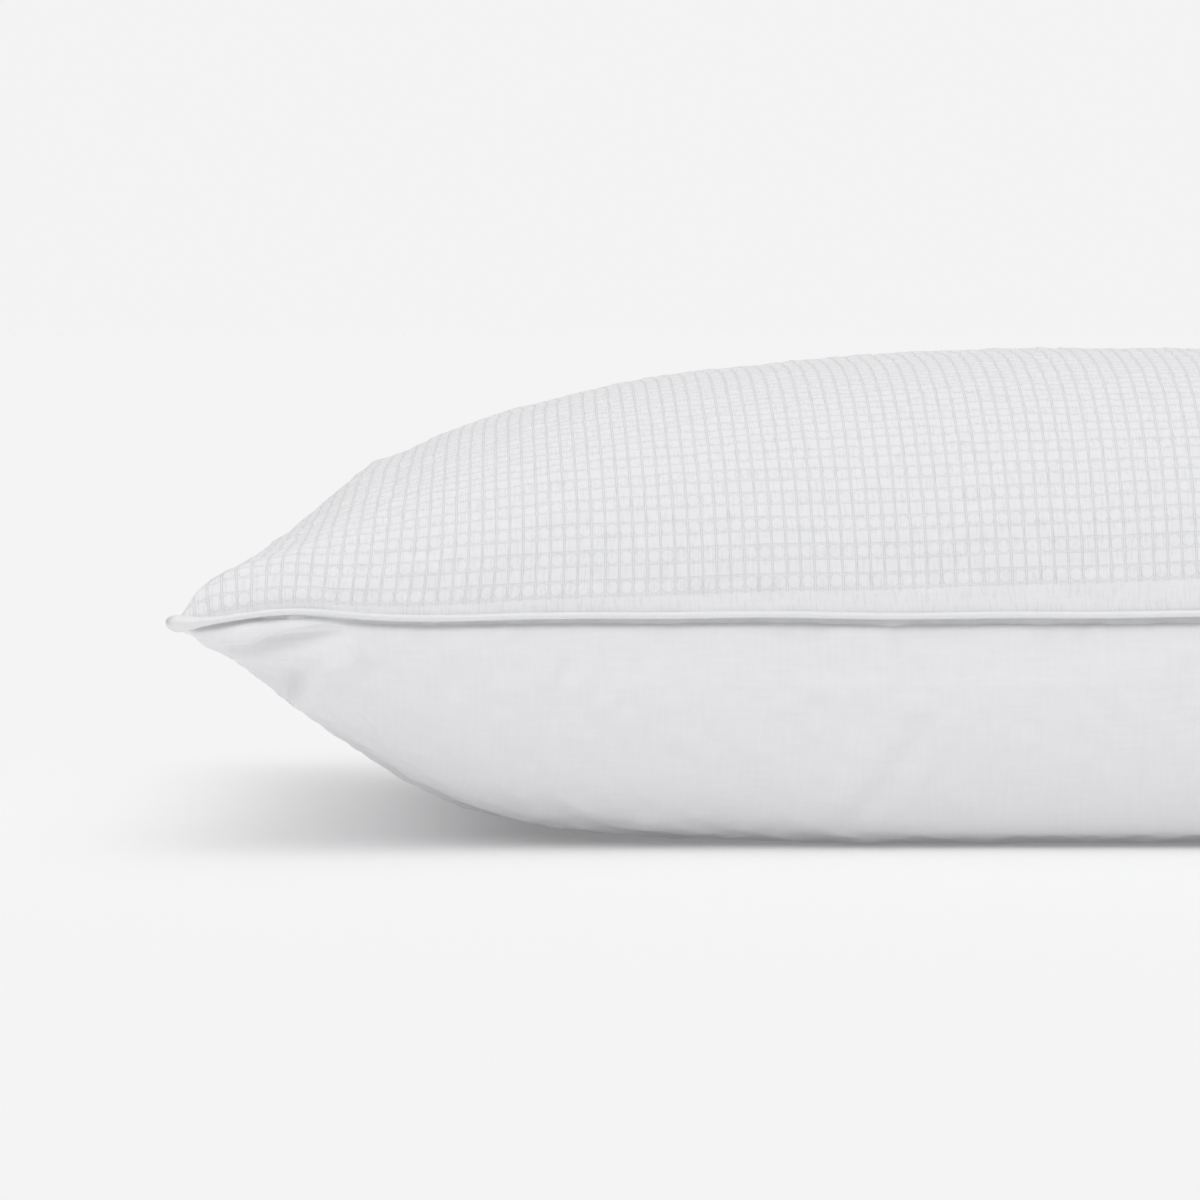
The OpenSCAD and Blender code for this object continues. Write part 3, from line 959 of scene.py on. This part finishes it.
# ---- Closing stitches ----
# The opening that the case was filled through is at one short side. It is closed after filling with a row
# of straight stitches through the underside, close to the piping.
closing_length = 0.150
closing_inset = 0.003
closing_stitch = 0.003
closing_gap = 0.001
points_a_stitch = 7
stitch_rise = 1.6
stitch_sink = 0.8
end_thinness = 0.4
inset_of_line = cut_length / 2 - cut_place[:, 0, 0]
closing_row = int(np.argmin(np.abs(inset_of_line - closing_inset)))
closing_line = under_case[closing_row]
closing_out = outward(under_case, -1)[closing_row]
stitches = []
stitch_count = int(closing_length / (closing_stitch + closing_gap))
for number in range(stitch_count):
    start = -closing_length / 2 + number * (closing_stitch + closing_gap)
    along = np.linspace(start, start + closing_stitch, points_a_stitch)
    over = np.sin(np.linspace(0, math.pi, points_a_stitch))
    points = np.stack([np.interp(along, closing_line[:, 1], closing_line[:, k]) for k in range(3)], -1)
    out = np.stack([np.interp(along, closing_line[:, 1], closing_out[:, k]) for k in range(3)], -1)
    points += out * (thread_radius * (stitch_rise * over - stitch_sink))[:, None]
    sideways = np.tile([1.0, 0, 0], (points_a_stitch, 1))
    size = thread_radius * (end_thinness + (1 - end_thinness) * over)
    stitches.append(tube_mesh(points, sideways, size, thread_sides, closed=False))
closing = joined_piece("closing_stitch_row", stitches)
closing.data.materials.append(thread_paint)
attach(closing, "root")
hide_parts("closing_stitches")


# ---- Care label ----
# A length of plain white ribbon, folded in half with both ends caught in the back seam. It hangs down over
# the underside, and its fold stands off the cloth a little.
def ribbon_material():
    material, tree, shader = new_material("label ribbon")
    place = tree.nodes.new("ShaderNodeTexCoord")
    height, tone = add_threads(tree, place.outputs["Object"], threads_per_metre=4200)
    coloured(tree, shader, shades(tree, tone, least=0.96, spread=0.06), (0.92, 0.92, 0.91))
    shader.inputs["Roughness"].default_value = 0.45
    shader.inputs["Sheen Weight"].default_value = 0.2
    bumped(tree, shader, height, distance=0.00003)
    return material


label_middle = 0.190
label_width = 0.034
label_drop = 0.042
label_stand_off = 0.0006
label_curl = 0.0022
label_layer = 0.0003
label_rows = 24
label_columns = 18


def on_underside(x, from_back_seam):
    """Points of the underside, and the way out of it, at places along and in from the back seam."""
    line_x = np.interp(x, cut_place[:, 0, 0], np.arange(cut_place.shape[0]))
    line_y = np.interp(cut_width / 2 - from_back_seam, cut_place[0, :, 1], np.arange(cut_place.shape[1]))
    i = np.minimum(line_x.astype(int), cut_place.shape[0] - 2)
    j = np.minimum(line_y.astype(int), cut_place.shape[1] - 2)
    tx, ty = (line_x - i)[..., None], (line_y - j)[..., None]
    found = []
    for field in (under_case, outward(under_case, -1)):
        near = field[i, j] * (1 - tx) + field[i + 1, j] * tx
        far = field[i, j + 1] * (1 - tx) + field[i + 1, j + 1] * tx
        found.append(near * (1 - ty) + far * ty)
    return found


down = np.linspace(0, label_drop, label_rows)
layer = np.concatenate([np.full(label_rows, label_layer), np.zeros(label_rows)])
across = label_middle + np.linspace(-0.5, 0.5, label_columns) * label_width
label_x, label_down = np.meshgrid(across, np.concatenate([down, down[::-1]]), indexing="ij")
label_surface, label_out = on_underside(label_x, label_down)
label_lift = label_stand_off + label_curl * (label_down / label_drop) ** 3 + layer
label_surface = label_surface + label_out * label_lift[..., None]
label_ids = np.arange(label_x.size).reshape(label_x.shape)
care_label = smooth_piece("care_label_ribbon", label_surface, grid_cells(label_ids, True))
care_label.data.materials.append(ribbon_material())
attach(care_label, "root")
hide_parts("care_label")


# ---- Studio ----
# A plain pale floor that runs out of sight and glows a little, like a light table. Wide soft light comes
# from above, a broad lamp stands high in front, and a weaker one behind lays a pale shadow in front.
floor_reach = 60
floor_shade = 0.9
floor_glow = 0.10
floor_mesh = bpy.data.meshes.new("floor")
floor_mesh.from_pydata([(-floor_reach, -floor_reach, 0), (floor_reach, -floor_reach, 0),
                        (floor_reach, floor_reach, 0), (-floor_reach, floor_reach, 0)], [], [(0, 1, 2, 3)])
floor = bpy.data.objects.new("floor", floor_mesh)
floor_paint, _, floor_shader = new_material("floor")
floor_shader.inputs["Base Color"].default_value = (floor_shade, floor_shade, floor_shade, 1)
floor_shader.inputs["Roughness"].default_value = 1
floor_shader.inputs["Specular IOR Level"].default_value = 0
floor_shader.inputs["Emission Color"].default_value = (1, 1, 1, 1)
floor_shader.inputs["Emission Strength"].default_value = floor_glow
floor.data.materials.append(floor_paint)
bpy.context.scene.collection.objects.link(floor)

background_shade = 0.896
world = bpy.data.worlds.new("studio")
bpy.context.scene.world = world
world.use_nodes = True
sky = world.node_tree
seen = sky.nodes["Background"]
seen.inputs["Color"].default_value = (background_shade, background_shade, background_shade, 1)
lit = sky.nodes.new("ShaderNodeBackground")
lit.inputs["Color"].default_value = (1, 1, 1, 1)
direction = sky.nodes.new("ShaderNodeTexCoord")


def glow(towards, strength, tightness):
    """Light from one side, strongest straight towards it and smaller the tighter it is."""
    node = sky.nodes.new("ShaderNodeVectorMath")
    node.operation = "DOT_PRODUCT"
    node.inputs[1].default_value = Vector(towards).normalized()
    sky.links.new(direction.outputs["Generated"], node.inputs[0])
    near = math_node(sky, "MAXIMUM", node.outputs["Value"], 0)
    return math_node(sky, "MULTIPLY", math_node(sky, "POWER", near, tightness), strength)


least_light = 0.02
from_above = glow(towards=(0, 0, 1), strength=0.95, tightness=1)
front_lamp = glow(towards=(-0.1, -1, 1), strength=1.5, tightness=8)
back_lamp = glow(towards=(0, 2.2, 1), strength=0.32, tightness=8)
strength = math_node(sky, "ADD", from_above, least_light)
strength = math_node(sky, "ADD", strength, front_lamp)
strength = math_node(sky, "ADD", strength, back_lamp)
sky.links.new(strength, lit.inputs["Strength"])
ray = sky.nodes.new("ShaderNodeLightPath")
either = sky.nodes.new("ShaderNodeMixShader")
sky.links.new(ray.outputs["Is Camera Ray"], either.inputs[0])
sky.links.new(lit.outputs[0], either.inputs[1])
sky.links.new(seen.outputs[0], either.inputs[2])
sky.links.new(either.outputs[0], sky.nodes["World Output"].inputs["Surface"])

bpy.context.scene.view_settings.view_transform = "Standard"
